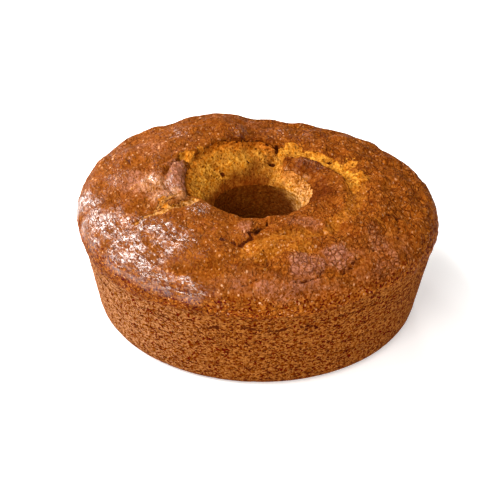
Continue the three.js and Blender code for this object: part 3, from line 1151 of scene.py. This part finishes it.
def crumb_colour(n):
    masks = n.masks
    deep = n.product(masks["deep"], n.ramp(masks["sponge"], -0.8, 0.3, 0.3, 1))
    # Paler crumb in the cracks, and painted light on the right inner face
    pale_and_lit = n.product(masks["pale_and_lit"], n.ramp(n.fine, 0.36, 0.60, 0.3, 1))
    crumb = n.blend(n.blend(CRUMB_LIP, CRUMB_GOLD, deep), CRUMB_PALE_LIT, pale_and_lit)
    # Painted shade and light of the sponge: darker in its hollows, lighter on its lumps
    crumb = n.shade(crumb, n.ramp(masks["sponge"], -0.8, 0.8, 0.78, 1.2))
    crumb = n.shade(crumb, n.ramp(n.fine, 0.36, 0.64, 0.72, 1.25))
    # Painted shade in the crumb's pits and in its small hollows
    crumb = n.blend(crumb, PORE_SHADE, n.product(masks["pores"], 0.4))
    return n.blend(crumb, TUBE_SKIN_AND_SHADE, n.product(n.hollows(n.swayed, *CRUMB_HOLLOWS), 0.75))


def grain_tint(n):
    """Tint of the finest grain, its pale cells painted glints; most on the side, least on the mauve
    crust.
    """
    masks = n.masks
    calm = n.most(masks["crumb"], n.without(n.most(masks["side"], masks["edge"])))
    grain = n.product(
        n.centred(n.grain),
        n.ramp(calm, 0, 1, POROUS_GRAIN, CALM_GRAIN),
        n.ramp(masks["bloom"], 0, 1, 1.0, 0.7),
    )
    tint = n.vector("MULTIPLY_ADD", GRAIN_AND_GLINT_TINT, grain, (1, 1, 1))
    return n.vector("MAXIMUM", tint, (0, 0, 0))


def baked_colour(n):
    masks = n.masks
    colour = n.blend(crust_colour(n), side_colour(n), masks["side"])
    colour = n.blend(colour, crumb_colour(n), masks["crumb"])
    # Tube skin, whose soft top is painted shade down in the hole
    tube = n.product(masks["tube"], n.ramp(n.fine, 0.36, 0.66, 1.0, 0.88))
    colour = n.blend(colour, TUBE_SKIN_AND_SHADE, tube)
    colour = n.vector("MULTIPLY", colour, grain_tint(n))
    # Painted shade in cracks, gaps, air holes, under plates and in the line of pores, with the burnt rim
    return n.blend(colour, SHADE_AND_BURNT_DARK, masks["dark"])


def baked_relief(n):
    """Height of the finest relief under the glaze."""
    on_crust = n.without(n.porous)
    dull = n.total(
        n.product(n.tilts, FACET_BUMP),
        n.product(n.middle, LUMP_BUMP),
        n.product(n.wrinkle, WRINKLE_BUMP),
    )
    return n.total(
        n.product(dull, on_crust),
        n.product(n.creases, on_crust, CREASE_BUMP),
        n.product(n.lines, on_crust, LINE_BUMP),
        n.product(n.porous, n.pores, PORE_BUMP),
        n.product(n.ramp(n.speckled, 0, 1, *FINE_BUMP), n.fine),
        n.product(n.grain, GRAIN_BUMP),
    )


def glaze_height(n):
    """Height of the glossy skin: facets, their lines, and soft swells along the ring."""
    return n.total(
        n.product(n.tilts, GLAZE_FACET_BUMP),
        n.product(n.skin, GLAZE_LINE_BUMP),
        n.product(n.noise(n.ring, GLAZE_NOISE, 1), GLAZE_SWELL_BUMP),
    )


def coat_weight(n):
    """Gloss of the crust, a little broken by the fine noise and the lines of the skin."""
    return n.product(n.masks["gloss"], n.ramp(n.fine, 0.36, 0.52, 0.75, 1), n.ramp(n.skin, 0, 1, 0.7, 1))


def baked_material(masks):
    """The cake's one material: brown crust, porous side, torn crumb and dark tube skin, with painted
    light and shade.
    """
    n = Nodes("baked_crust")
    n.masks = {name: n.attribute(name) for name in masks}
    make_places(n)
    make_patterns(n)
    sharpen_masks(n)
    n.porous = n.most(n.masks["side"], n.masks["crumb"])
    n.pores = side_pores(n)
    n.lines = skin_lines(n)
    return n.finish({
        "Base Color": baked_colour(n),
        "Roughness": n.ramp(n.porous, 0, 1, CRUST_ROUGHNESS, CRUMB_ROUGHNESS),
        "Normal": n.bump(baked_relief(n)),
        "Coat Weight": coat_weight(n),
        "Coat Normal": n.bump(glaze_height(n)),
        "Coat Roughness": COAT_ROUGHNESS,
        "Coat IOR": COAT_IOR,
        "Specular IOR Level": SPECULAR_LEVEL,
    })


def floor_material():
    n = Nodes("pale_floor")
    place = n.make("ShaderNodeTexCoord", "Object")
    return n.finish({
        "Base Color": n.blend(*FLOOR_WHITES, n.noise(place, FLOOR_SPECKS, 3)),
        "Emission Color": (1, 1, 1),
        "Emission Strength": FLOOR_GLOW,
        "Roughness": FLOOR_ROUGHNESS,
        "Specular IOR Level": FLOOR_SPECULAR,
    })


# Scene

def add_object(name, data):
    piece = bpy.data.objects.new(name, data)
    bpy.context.scene.collection.objects.link(piece)
    return piece


def make_cake():
    surface = Surface()
    make_side_masks(surface)
    make_relief(surface)
    make_texture(surface)
    piece = add_object("baked_cake", surface_mesh("baked_cake", surface))
    piece.data.materials.append(baked_material(surface.masks))
    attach(piece, "root")
    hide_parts("cake")


def make_floor():
    mesh = bpy.data.meshes.new("floor")
    corners = ((-1, -1, 0), (1, -1, 0), (1, 1, 0), (-1, 1, 0))
    mesh.from_pydata([FLOOR_HALF * Vector(corner) for corner in corners], [], [(0, 1, 2, 3)])
    mesh.materials.append(floor_material())
    floor = add_object("floor", mesh)
    floor.location.z = -FLOOR_DROP


def make_light(name, azimuth, elevation, distance, size, power):
    """A square panel that faces the cake from this azimuth and elevation."""
    light = bpy.data.lights.new(name, "AREA")
    light.size = size
    light.energy = power
    light.color = LIGHT_COLOUR
    lamp = add_object(name, light)
    lamp.visible_camera = False
    turn, tilt = math.radians(azimuth), math.radians(elevation)
    level = math.cos(tilt)
    direction = Vector((level * math.cos(turn), level * math.sin(turn), math.sin(tilt)))
    lamp.location = CAMERA_AIM + direction * distance
    lamp.rotation_euler = direction.to_track_quat("Z", "Y").to_euler()


def make_lights():
    for i, (azimuth, elevation, size) in enumerate(WINDOW_PANES):
        power = WINDOW_RADIANCE * math.pi * size**2
        make_light(f"window_{i}", azimuth, elevation, WINDOW_DISTANCE, size, power)
    for fill in FILLS:
        make_light(*fill)
    world = bpy.data.worlds.new("studio")
    world.use_nodes = True
    background = world.node_tree.nodes["Background"]
    background.inputs["Color"].default_value = (1, 1, 1, 1)
    background.inputs["Strength"].default_value = WORLD_STRENGTH
    bpy.context.scene.world = world
    bpy.context.scene.view_settings.view_transform = "Standard"


def make_camera():
    tilt = math.radians(CAMERA_ELEVATION)
    back = Vector((0, -math.cos(tilt), math.sin(tilt)))
    up = Vector((0, math.sin(tilt), math.cos(tilt)))
    turn = Matrix((Vector((1, 0, 0)), up, back)).transposed().to_4x4()
    camera = add_object("camera", bpy.data.cameras.new("camera"))
    camera.data.lens = CAMERA_LENS
    camera.data.shift_x, camera.data.shift_y = CAMERA_SHIFT
    place = Matrix.Translation(CAMERA_AIM + back * CAMERA_DISTANCE)
    camera.matrix_world = place @ turn @ Matrix.Rotation(math.radians(CAMERA_ROLL), 4, "Z")
    bpy.context.scene.camera = camera


make_camera()
make_cake()
make_floor()
make_lights()
